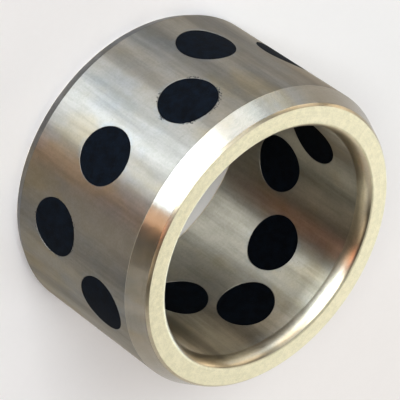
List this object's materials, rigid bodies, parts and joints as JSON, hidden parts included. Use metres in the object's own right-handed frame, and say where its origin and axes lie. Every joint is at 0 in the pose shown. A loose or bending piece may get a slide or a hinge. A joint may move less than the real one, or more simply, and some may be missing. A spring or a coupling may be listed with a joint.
{
  "type": "graphite plugged bushing",
  "caption": "Plain cylindrical bronze bushing with round graphite plugs through its wall, flush with the bore and the outside, and lead-in chamfers at both ends.",
  "frame": {"origin": "on the bore axis, in the plane of the rear end face that the bushing stands on", "axes": "+Z along the bore axis, from the rear end with the short chamfer to the front end with the long lead-in chamfer; +X and +Y are across the bore"},
  "size_m": [0.058, 0.058, 0.035],
  "materials": {
    "bronze": "satin",
    "graphite": "matte"
  },
  "bodies": {
    "root": {"bronze_sleeve": "bronze", "graphite_plug_01": "graphite", "graphite_plug_02": "graphite", "graphite_plug_03": "graphite", "graphite_plug_04": "graphite", "graphite_plug_05": "graphite", "graphite_plug_06": "graphite", "graphite_plug_07": "graphite", "graphite_plug_08": "graphite", "graphite_plug_09": "graphite", "graphite_plug_10": "graphite", "graphite_plug_11": "graphite", "graphite_plug_12": "graphite"}
  },
  "joints": []
}
